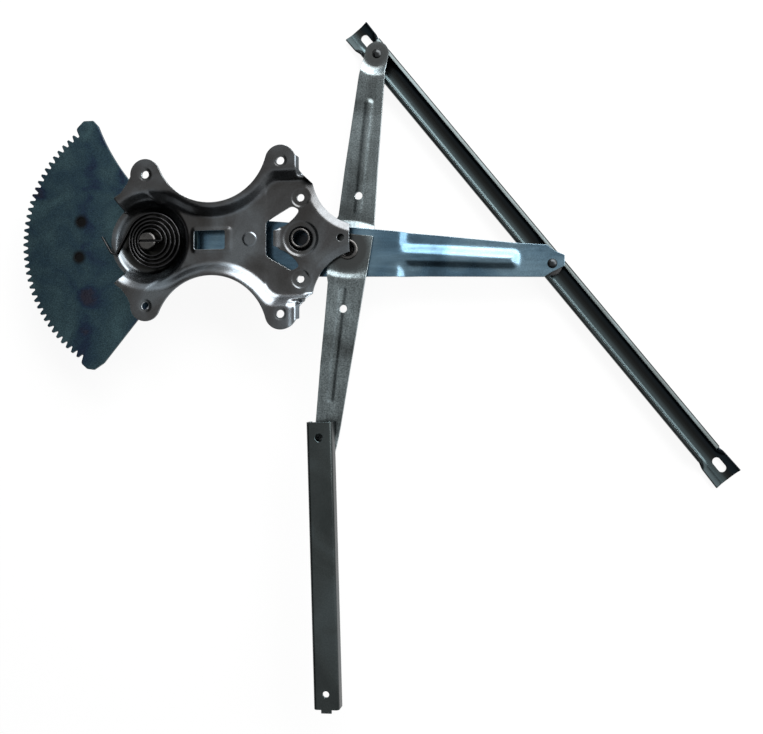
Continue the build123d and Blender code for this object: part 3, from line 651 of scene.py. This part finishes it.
# %% Sweep a strip
def swept_strip(name, path, thick, tall, top, corner):
    """A strip on edge with rounded corners, swept along a level path."""
    path = np.array(path)
    ahead = np.gradient(path, axis=0)
    ahead /= np.linalg.norm(ahead, axis=1)[:, None]
    across = np.column_stack([-ahead[:, 1], ahead[:, 0]])
    box = [(-thick / 2, -tall), (thick / 2, -tall), (thick / 2, 0), (-thick / 2, 0)]
    section = np.array(rounded(box, corner))
    ring, last = len(section), len(path) - 1
    rows = [
        np.column_stack([point + section[:, :1] * side, np.full(ring, top) + section[:, 1]])
        for point, side in zip(path, across)
    ]
    faces = [list(range(ring))[::-1], [last * ring + j for j in range(ring)]]
    for here in range(0, last * ring, ring):
        for j in range(ring):
            after = (j + 1) % ring
            faces.append([here + j, here + after, here + ring + after, here + ring + j])
    mesh = bpy.data.meshes.new(name)
    mesh.from_pydata((np.vstack(rows) * mm).tolist(), [], faces)
    shade_smooth(mesh, 60)
    print(name, "faces:", len(mesh.polygons))
    return add_object(name, mesh)


def step_from(point, angle, length):
    """The point reached from another by a length at an angle in degrees."""
    return point + length * np.array([cos(radians(angle)), sin(radians(angle))])


print("one step east of the pivot:", step_from(np.zeros(2), 0, 1.0))

# %% [markdown]
# ## Counterbalance spring
# The spring helps the motor to lift the glass. Its inner end sits in the stud's slot, and its
# outer leg ends in a hook. It isn't wound round one centre: the half turns on the right
# stand further apart than those on the left, so each half turn is its own arc.

# %% Counterbalance spring
half_turns, last_sweep = 9, 150.8
spring_path = [(-6.5, 0.0), (0.0, 0.0), (6.0, 0.0), (11.2, 0.0), (12.6, 0.35), (13.1, 1.2)]
for half_turn in range(half_turns):
    right = 13.2 + 4.0 * ((half_turn + 1) // 2)
    left = -8.9 - 2.7 * (half_turn // 2)
    start = 180 * (half_turn % 2)
    sweep = last_sweep if half_turn == half_turns - 1 else 180
    points = arc(((right + left) / 2, 0.0), (right - left) / 2, start, start + sweep, 0.8)
    spring_path += points[2 if half_turn == 0 else 1 :]
leg_start = np.array(spring_path[-1])
leg_end = step_from(leg_start, last_sweep + 90, 26.5)
hook_corner = step_from(leg_end, 168, 4.4)
hook_tip = step_from(hook_corner, 120, 17.0)
leg_line = [tuple(leg_start + (leg_end - leg_start) * k / 12) for k in range(1, 12)]
hook = rounded([leg_line[-1], tuple(leg_end), tuple(hook_corner), tuple(hook_tip)], 2.0)
spring_path += leg_line + hook[7:21] + [tuple(hook_tip)]
spring = swept_strip(
    "counterbalance_spring_strip", spring_path, thick=1.5, tall=5.3, top=-5.0, corner=0.7
)
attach(spring, "base")
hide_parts("counterbalance_spring")

# %% [markdown]
# ## Node helpers
# Every finish below is built from the same few nodes. Written out one by one they'd fill
# pages and hide what a finish is about, so short helpers add a node and set or link its
# inputs in one call.


# %% Node helpers
def join(tree, value, socket):
    """Link a socket to another one, or set it to a value."""
    if isinstance(value, bpy.types.NodeSocket):
        tree.links.new(value, socket)
    else:
        socket.default_value = value


def add_node(tree, kind, **inputs):
    """A new shader node, with its inputs set to values or joined to sockets."""
    node = tree.nodes.new(kind)
    for name, value in inputs.items():
        join(tree, value, node.inputs[name.replace("_", " ")])
    return node


def compute(tree, kind, operation, *values):
    """The number that a math node makes of values or sockets."""
    node = tree.nodes.new(kind)
    node.operation = operation
    for value, socket in zip(values, node.inputs):
        join(tree, value, socket)
    return node.outputs["Value"]


def new_material(name):
    """A material that uses nodes, its tree and its shader."""
    material = bpy.data.materials.new(name)
    material.use_nodes = True
    return material, material.node_tree, material.node_tree.nodes["Principled BSDF"]


print("helpers:", [helper.__name__ for helper in (join, add_node, compute, new_material)])

# %% [markdown]
# ## Noise, ramps and mixes
# Real surfaces vary at several sizes at once. Image textures could show that, but they'd need
# unwrapping and stop at one resolution. Noise in the object's own coordinates has neither
# limit: a ramp turns it into colours or levels, and a mix lays one over another.


# %% Noise, ramps and mixes
def noise(tree, place, scale, detail=3.0, distortion=0.0, stretch=None):
    """Noise of a scale given in features per metre, stretched along an axis if asked."""
    if stretch:
        place = add_node(tree, "ShaderNodeMapping", Vector=place, Scale=stretch).outputs[0]
    texture = add_node(
        tree, "ShaderNodeTexNoise", Vector=place, Scale=scale, Detail=detail, Distortion=distortion
    )
    return texture.outputs[0]


def ramp(tree, value, stops):
    """A colour ramp from a list of (place, colour); a plain number makes a grey."""
    node = add_node(tree, "ShaderNodeValToRGB", Fac=value)
    band = node.color_ramp
    for index, (place, colour) in enumerate(stops):
        stop = band.elements[index] if index < 2 else band.elements.new(place)
        stop.position = place
        grey = isinstance(colour, (int, float))
        stop.color = (colour, colour, colour, 1) if grey else (*colour, 1)
    return node.outputs[0]


def mix(tree, share, first, second, mode="MIX"):
    """Two colours mixed by a share; a colour is a socket or three numbers."""
    node = tree.nodes.new("ShaderNodeMix")
    node.data_type = "RGBA"
    node.blend_type = mode
    for index, value in ((0, share), (6, first), (7, second)):
        join(tree, (*value, 1) if isinstance(value, tuple) else value, node.inputs[index])
    return node.outputs[2]


print("a noise of 900 per metre has grains of about", round(1000 / 900, 1), "mm")

# %% [markdown]
# ## Edges, marks and painted wall highlights
# Handling rubs edges bright, round marks lay darker colour on chosen places, some of it
# painted shade, and sloping walls get a lighter colour as a painted highlight. Edges are found
# with a bevelled normal, marks by their distance on the sheet, and sloping walls by how far
# their normal leans away from straight up.


# %% Edges, marks and painted wall highlights
def edge_mask(tree, radius):
    """White along edges, where a bevelled normal leaves the true one, and that normal."""
    bevel = add_node(tree, "ShaderNodeBevel", Radius=radius)
    bevel.samples = 4
    normal = tree.nodes.new("ShaderNodeNewGeometry").outputs["Normal"]
    dot = compute(tree, "ShaderNodeVectorMath", "DOT_PRODUCT", bevel.outputs[0], normal)
    return ramp(tree, dot, [(0.75, 1.0), (0.995, 0.0)]), bevel.outputs[0]


def round_mark(tree, place, colour, middle, radius, overlay):
    """A round patch laid over a colour, soft at its rim; used for painted shade and darker
    patches.
    """
    shift = (-middle[0] * mm, -middle[1] * mm, 0)
    flat = add_node(tree, "ShaderNodeMapping", Vector=place, Scale=(1, 1, 0), Location=shift)
    far = compute(tree, "ShaderNodeVectorMath", "LENGTH", flat.outputs[0])
    reach = radius * mm
    return mix(tree, ramp(tree, far, [(reach * 0.7, 1.0), (reach, 0.0)]), colour, overlay)


def paint_wall_highlight(tree, colour, gain):
    """Sloping metal made lighter than level metal, and slightly bluer: a painted highlight."""
    normal = tree.nodes.new("ShaderNodeNewGeometry").outputs["Normal"]
    level = add_node(tree, "ShaderNodeSeparateXYZ", Vector=normal).outputs["Z"]
    top = 4.0  # a ramp holds nothing above 1, so it works at a quarter of the true gain
    tint = tuple(gain / top * share for share in (0.93, 1.0, 1.06))
    colour = mix(tree, 1.0, colour, ramp(tree, level, [(0.82, tint), (0.97, 1 / top)]), "MULTIPLY")
    return mix(tree, 1.0, colour, (top, top, top), "MULTIPLY")


print("a wall counts as drawn from", round(degrees(np.arccos(0.97))), "degrees of slope")

# %% [markdown]
# ## Painted shading in the glass channel
# The web of the glass channel gets painted light and shade: a light band along one side and
# painted shade along the other. It follows the channel's line, so it is a ramp over the place
# across that line, and it shows only low in the section, on the web and the foot of the walls.

# %% Painted channel shading
# Heights and half width of the painted light and shade in the glass channel.
channel_shading_top, channel_shading_full, channel_shading_half_width = -0.036, -0.038, 10 * mm


def place_across(tree, place, origin, angle):
    """Where a point lies across a line, from 0 at 10 mm right of it to 1 at 10 mm left."""
    normal = (-sin(radians(angle)), cos(radians(angle)))
    offset = (origin[0] * normal[0] + origin[1] * normal[1]) * mm
    dot = compute(tree, "ShaderNodeVectorMath", "DOT_PRODUCT", place, (*normal, 0))
    level = add_node(
        tree, "ShaderNodeMapRange", Value=dot,
        From_Min=offset - channel_shading_half_width, From_Max=offset + channel_shading_half_width,
    )
    return level.outputs[0]


def paint_channel_shading(tree, place, colour, origin, angle, stops):
    """Painted light and shade of changing colour laid over the bottom of a channel."""
    overlay = ramp(tree, place_across(tree, place, origin, angle), stops)
    height = add_node(tree, "ShaderNodeSeparateXYZ", Vector=place).outputs["Z"]
    inside = add_node(
        tree, "ShaderNodeMapRange", Value=height, From_Min=channel_shading_top, From_Max=channel_shading_full
    )
    return mix(tree, inside.outputs[0], colour, overlay)


print("the film fades in over", round((channel_shading_top - channel_shading_full) * 1000, 1), "mm of height")

# %% [markdown]
# ## Plated sheet
# Zinc-plated sheet isn't one grey. The bath leaves clouds a few centimetres across, the
# passivation adds a cast of blue or green, grains of a millimetre sparkle, and handling rubs
# edges bright. One helper lays these over each other, and each finish sets its colours.


# %% Plated sheet
def plated_sheet(
    name, clouds, cloud_scale, grain, grain_depth, rough, edge_colour,
    rolled=None, bump=0.06, marks=(), drawn=None, overlay=None,
):
    """A metal with clouds of colour, a fine grain, edge wear and a soft bevel at its edges."""
    material, tree, shader = new_material(name)
    shader.inputs["Metallic"].default_value = 1.0
    place = tree.nodes.new("ShaderNodeTexCoord").outputs["Object"]
    cloud = noise(tree, place, cloud_scale, 4.0, 0.6)
    fine = noise(tree, place, grain)
    fine_grey = ramp(tree, fine, [(0.3, 1 - grain_depth), (0.7, 1 + grain_depth)])
    colour = mix(tree, 1.0, ramp(tree, cloud, clouds), fine_grey, "MULTIPLY")
    if rolled:
        lines = ramp(tree, noise(tree, place, 260.0, stretch=rolled), [(0.35, 0.86), (0.65, 1.14)])
        colour = mix(tree, 1.0, colour, lines, "MULTIPLY")
    worn, soft_normal = edge_mask(tree, 0.0007)
    colour = mix(tree, worn, colour, edge_colour)
    # Round marks lay darker colour on chosen places; those over the spring's pocket and under the
    # motor's shaft collar are painted shade.
    for mark in marks:
        colour = round_mark(tree, place, colour, *mark)
    # This is painted light and shade across the glass channel's web.
    if overlay:
        colour = paint_channel_shading(tree, place, colour, *overlay)
    # A lighter, bluer colour on sloping walls is a painted highlight.
    if drawn:
        colour = paint_wall_highlight(tree, colour, drawn)
    roughness = ramp(tree, cloud, [(0.3, rough[0]), (0.7, rough[1])])
    relief = add_node(
        tree, "ShaderNodeBump", Strength=bump, Distance=0.0004, Height=fine, Normal=soft_normal
    )
    join(tree, colour, shader.inputs["Base Color"])
    join(tree, roughness, shader.inputs["Roughness"])
    join(tree, relief.outputs[0], shader.inputs["Normal"])
    return material


finishes = {}
print("finishes needed:", sorted(set(slot_of.values())))

# %% [markdown]
# ## Base plate finish
# The plate is dark, neutral zinc that turns lighter in clouds. Its drawn walls get a lighter
# colour as a painted highlight, and painted shade darkens the pocket round the stud. That
# shade is a round mark of its own, because no noise would put it just there.

# %% Base plate finish
finishes["zinc_plate"] = plated_sheet(
    "zinc_plate",
    [(0.36, (0.034, 0.033, 0.032)), (0.5, (0.054, 0.055, 0.056)), (0.64, (0.088, 0.097, 0.103))],
    cloud_scale=17.0, grain=900.0, grain_depth=0.14, rough=(0.20, 0.28),
    # This gain gives the plate's sloping walls a painted highlight.
    edge_colour=(0.22, 0.24, 0.25), drawn=1.9,
    # The first mark is painted shade in the spring's pocket; the second is a small dark round mark
    # near the upper right ear.
    marks=[((0, 0), 34.0, (0.012, 0.012, 0.011)), ((144.0, 50.5), 6.5, (0.008, 0.008, 0.008))],
)
print("finish:", finishes["zinc_plate"].name)

# %% [markdown]
# ## Lift arm and sector finishes
# Both are blue from their passivation. The arm is lighter, with fine streaks along the way
# it was rolled and painted shade under the motor's shaft collar. The sector is darker and
# mottled, with a hint of violet in its darkest clouds and darker rings round its rivets.

# %% Lift arm and sector finishes
finishes["zinc_arm"] = plated_sheet(
    "zinc_arm",
    [(0.34, (0.034, 0.060, 0.084)), (0.5, (0.056, 0.102, 0.142)), (0.66, (0.096, 0.152, 0.190))],
    cloud_scale=18.0, grain=1100.0, grain_depth=0.18, rough=(0.22, 0.32),
    edge_colour=(0.22, 0.28, 0.31), rolled=(0.12, 1, 1),
    # Painted shade on the arm under the motor's shaft collar.
    marks=[((137.0, 0.0), 8.5, (0.013, 0.014, 0.016))],
)
finishes["blue_sector"] = plated_sheet(
    "blue_sector",
    [(0.28, (0.029, 0.029, 0.042)), (0.36, (0.019, 0.032, 0.058)), (0.43, (0.026, 0.050, 0.068)),
     (0.56, (0.034, 0.062, 0.074)), (0.70, (0.044, 0.080, 0.092))],
    cloud_scale=30.0, grain=1100.0, grain_depth=0.42, rough=(0.34, 0.48),
    edge_colour=(0.04, 0.06, 0.07),
    marks=[(place, 6.5, (0.010, 0.010, 0.010)) for place in rivet_places],
)
print("finishes:", list(finishes))

# %% [markdown]
# ## Equalizer and channel finishes
# The equalizer's halves are the lightest sheet and sparkle most, with darker pads where they
# rub. The channels are much darker. Their difference is mostly in the grain: deep on the
# bars, shallow on the channels, which were rolled after plating.

# %% Equalizer and channel finishes
pad_grey = (0.044, 0.047, 0.047)
finishes["zinc_link"] = plated_sheet(
    "zinc_link",
    [(0.34, (0.052, 0.060, 0.061)), (0.5, (0.086, 0.101, 0.104)), (0.68, (0.132, 0.157, 0.163))],
    cloud_scale=26.0, grain=900.0, grain_depth=0.5, rough=(0.24, 0.32),
    # This gain gives the halves' sloping walls a painted highlight.
    edge_colour=(0.28, 0.32, 0.33), rolled=(1, 0.12, 1), drawn=1.7,
    marks=[(crossing, 23.0, pad_grey), (glass_start, 15.0, pad_grey)],
)
# Painted light and shade across the glass channel's web: dark, a light band, then dark.
channel_shading_stops = [(0.17, (0.012, 0.016, 0.017)), (0.23, (0.040, 0.056, 0.060))]
channel_shading_stops += [(0.36, (0.046, 0.060, 0.063)), (0.48, (0.020, 0.023, 0.023))]
channel_shading_stops += [(0.62, (0.011, 0.012, 0.012)), (0.85, (0.008, 0.012, 0.015))]
finishes["channel_steel"] = plated_sheet(
    "channel_steel",
    [(0.34, (0.028, 0.033, 0.033)), (0.5, (0.035, 0.041, 0.041)), (0.68, (0.046, 0.056, 0.058))],
    cloud_scale=20.0, grain=900.0, grain_depth=0.14, rough=(0.22, 0.32),
    edge_colour=(0.10, 0.14, 0.15), overlay=(glass_start, glass_line, channel_shading_stops), bump=0.03,
)
print("finishes:", list(finishes))

# %% [markdown]
# ## Stud and spring finishes
# Studs, rivets and bushes are turned or headed from bar, so they're evener than sheet and
# their clouds are small. Round marks make those at the rivets and the two roller studs darker.
# The spring is oiled black steel, and only its rounded edges catch light; their lighter
# colour is wear and a painted glint.

# %% Stud and spring finishes
stud_marks = [(place, 7.0, (0.012, 0.012, 0.012)) for place in rivet_places]
stud_marks += [(glass_start, 6.0, (0.026, 0.028, 0.029))]
stud_marks += [(lift_roller_place, 6.0, (0.026, 0.029, 0.031))]
finishes["stud_steel"] = plated_sheet(
    "stud_steel", [(0.3, (0.035, 0.034, 0.033)), (0.7, (0.07, 0.068, 0.066))],
    cloud_scale=120.0, grain=1500.0, grain_depth=0.2, rough=(0.22, 0.34),
    edge_colour=(0.16, 0.16, 0.16), marks=stud_marks,
)
finishes["spring_steel"] = plated_sheet(
    "spring_steel", [(0.3, (0.016, 0.016, 0.017)), (0.7, (0.030, 0.030, 0.031))],
    cloud_scale=120.0, grain=1500.0, grain_depth=0.15, rough=(0.20, 0.28),
    # The lighter edge colour is wear and a painted glint on the rounded edges.
    edge_colour=(0.06, 0.06, 0.06),
)
print("finishes:", list(finishes))

# %% [markdown]
# ## Moulded nylon
# The rollers and wear washers are black nylon: not a metal, slightly waxy, with a fine
# sparkle of glass fibre. It needs only one fine noise, for its colour and its relief.


# %% Moulded nylon
def moulded_nylon(name):
    """A dark plastic with a faint fibre texture."""
    material, tree, shader = new_material(name)
    place = tree.nodes.new("ShaderNodeTexCoord").outputs["Object"]
    fibre = noise(tree, place, 1600.0, 2.0)
    colour = ramp(tree, fibre, [(0.35, (0.020, 0.020, 0.021)), (0.75, (0.045, 0.045, 0.046))])
    relief = add_node(tree, "ShaderNodeBump", Strength=0.1, Distance=0.0003, Height=fibre)
    shader.inputs["Roughness"].default_value = 0.42
    join(tree, colour, shader.inputs["Base Color"])
    join(tree, relief.outputs[0], shader.inputs["Normal"])
    return material


finishes["roller_nylon"] = moulded_nylon("roller_nylon")
print("finishes:", list(finishes))

# %% [markdown]
# ## Finishes on the parts
# Each part's slot in the record names its finish, so no part is named here. The pieces that
# stand for a part take the finish of that part's slot.

# %% Assign finishes
for name, part in nodes.items():
    part.data.materials.clear()
    part.data.materials.append(finishes[slot_of[name]])
made_slots = {plate: "zinc_plate", arm: "zinc_arm", spring: "spring_steel"}
made_slots.update({upper_half: "zinc_link", lower_half: "zinc_link"})
made_slots.update({glass: "channel_steel", guide: "channel_steel"})
for piece, slot in made_slots.items():
    piece.data.materials.append(finishes[slot])
print("pieces with a finish:", len(nodes) + len(made_slots))

# %% [markdown]
# ## White to the eye
# Table and world should look plain white without flooding the metal with light. Brighter
# lamps would wash out the shadow, so white is given only to the rays that look: camera,
# glossy and transmission rays. The rays that light the object get a plain level.


# %% White to the eye
def white_when_seen(tree, level):
    """A level for camera, glossy and transmission rays, and 0 for all others."""
    rays = tree.nodes.new("ShaderNodeLightPath").outputs
    seen = rays["Is Camera Ray"]
    for kind in ("Is Glossy Ray", "Is Transmission Ray"):
        seen = compute(tree, "ShaderNodeMath", "MAXIMUM", seen, rays[kind])
    return compute(tree, "ShaderNodeMath", "MULTIPLY", seen, level)


def make_world(strength):
    """White where it is seen, and a plain level where it lights."""
    world = bpy.data.worlds.new("studio")
    bpy.context.scene.world = world
    world.use_nodes = True
    tree = world.node_tree
    level = add_node(
        tree, "ShaderNodeMapRange", Value=white_when_seen(tree, 1.0), To_Min=strength, To_Max=1.0
    )
    background = tree.nodes["Background"]
    background.inputs["Color"].default_value = (1, 1, 1, 1)
    join(tree, level.outputs[0], background.inputs["Strength"])
    return world


print("world:", make_world(0.4).name)

# %% [markdown]
# ## Table
# The regulator lies on a matt white table, just under its lowest point, and the table keeps
# its soft shadow. A little of the table's own shading is left in what the camera sees,
# because pure white everywhere would make the object float.


# %% Table
def rectangle(name, width, depth, level=0.0):
    """A level rectangle round the origin."""
    x, y = width / 2, depth / 2
    corners = [(-x, -y, level), (x, -y, level), (x, y, level), (-x, y, level)]
    mesh = bpy.data.meshes.new(name)
    mesh.from_pydata(corners, [], [(0, 1, 2, 3)])
    return add_object(name, mesh)


def table_white(share_seen):
    """A matt white that also shines towards the rays that look at it."""
    material, tree, shader = new_material("table_white")
    shader.inputs["Base Color"].default_value = (0.8, 0.8, 0.8, 1)
    shader.inputs["Roughness"].default_value = 0.9
    glow = add_node(tree, "ShaderNodeEmission", Color=(1, 1, 1, 1), Strength=1.0)
    blend = add_node(tree, "ShaderNodeMixShader", Fac=white_when_seen(tree, share_seen))
    join(tree, shader.outputs[0], blend.inputs[1])
    join(tree, glow.outputs[0], blend.inputs[2])
    join(tree, blend.outputs[0], tree.nodes["Material Output"].inputs[0])
    return material


table_side, table_drop = 12.0, 0.0005
table = rectangle("table", table_side, table_side, cad_box[0][2] - table_drop)
table.data.materials.append(table_white(0.92))
print("table at z =", round(cad_box[0][2] - table_drop, 4))

# %% [markdown]
# ## Lamps and cards
# Metal shows what it reflects. It's dark where it looks up, and bright where a sloping wall
# catches a lamp, so two wide lamps stand low beyond the far edge and to the right. Black
# cards at the near side and the left give the opposite slopes their depth.

# %% Lamps and cards
centre = (0.2, -0.1, -0.02)


def around(azimuth, elevation, distance):
    """A place seen from the object's middle in a direction given in degrees."""
    a, e = radians(azimuth), radians(elevation)
    level = distance * cos(e)
    return (centre[0] + level * cos(a), centre[1] + level * sin(a), centre[2] + distance * sin(e))


def aim(thing, place):
    """Put a lamp or card at a place and turn it to the object's middle, unseen itself."""
    thing.location = place
    direction = Vector(centre) - Vector(place)
    thing.rotation_euler = direction.to_track_quat("-Z", "Y").to_euler()
    thing.visible_camera = False


def strip_lamp(name, place, width, height, power):
    """A soft rectangular lamp."""
    lamp_data = bpy.data.lights.new(name, "AREA")
    lamp_data.shape = "RECTANGLE"
    lamp_data.size = width
    lamp_data.size_y = height
    lamp_data.energy = power
    aim(add_object(name, lamp_data), place)


def dark_card(name, place, width, height):
    """A black card that only reflections see."""
    card = rectangle(name, width, height)
    aim(card, place)
    material, _, shader = new_material(name)
    shader.inputs["Base Color"].default_value = (0, 0, 0, 1)
    card.data.materials.append(material)
    card.visible_shadow = False
    card.visible_diffuse = False


strip_lamp("far_strip", around(72, 30, 1.5), 1.4, 1.0, 52)
strip_lamp("right_strip", around(19, 30, 1.5), 1.15, 0.9, 25)
dark_card("near_card", around(-90, 28, 1.2), 2.6, 0.8)
dark_card("left_card", around(180, 30, 1.2), 1.8, 0.9)
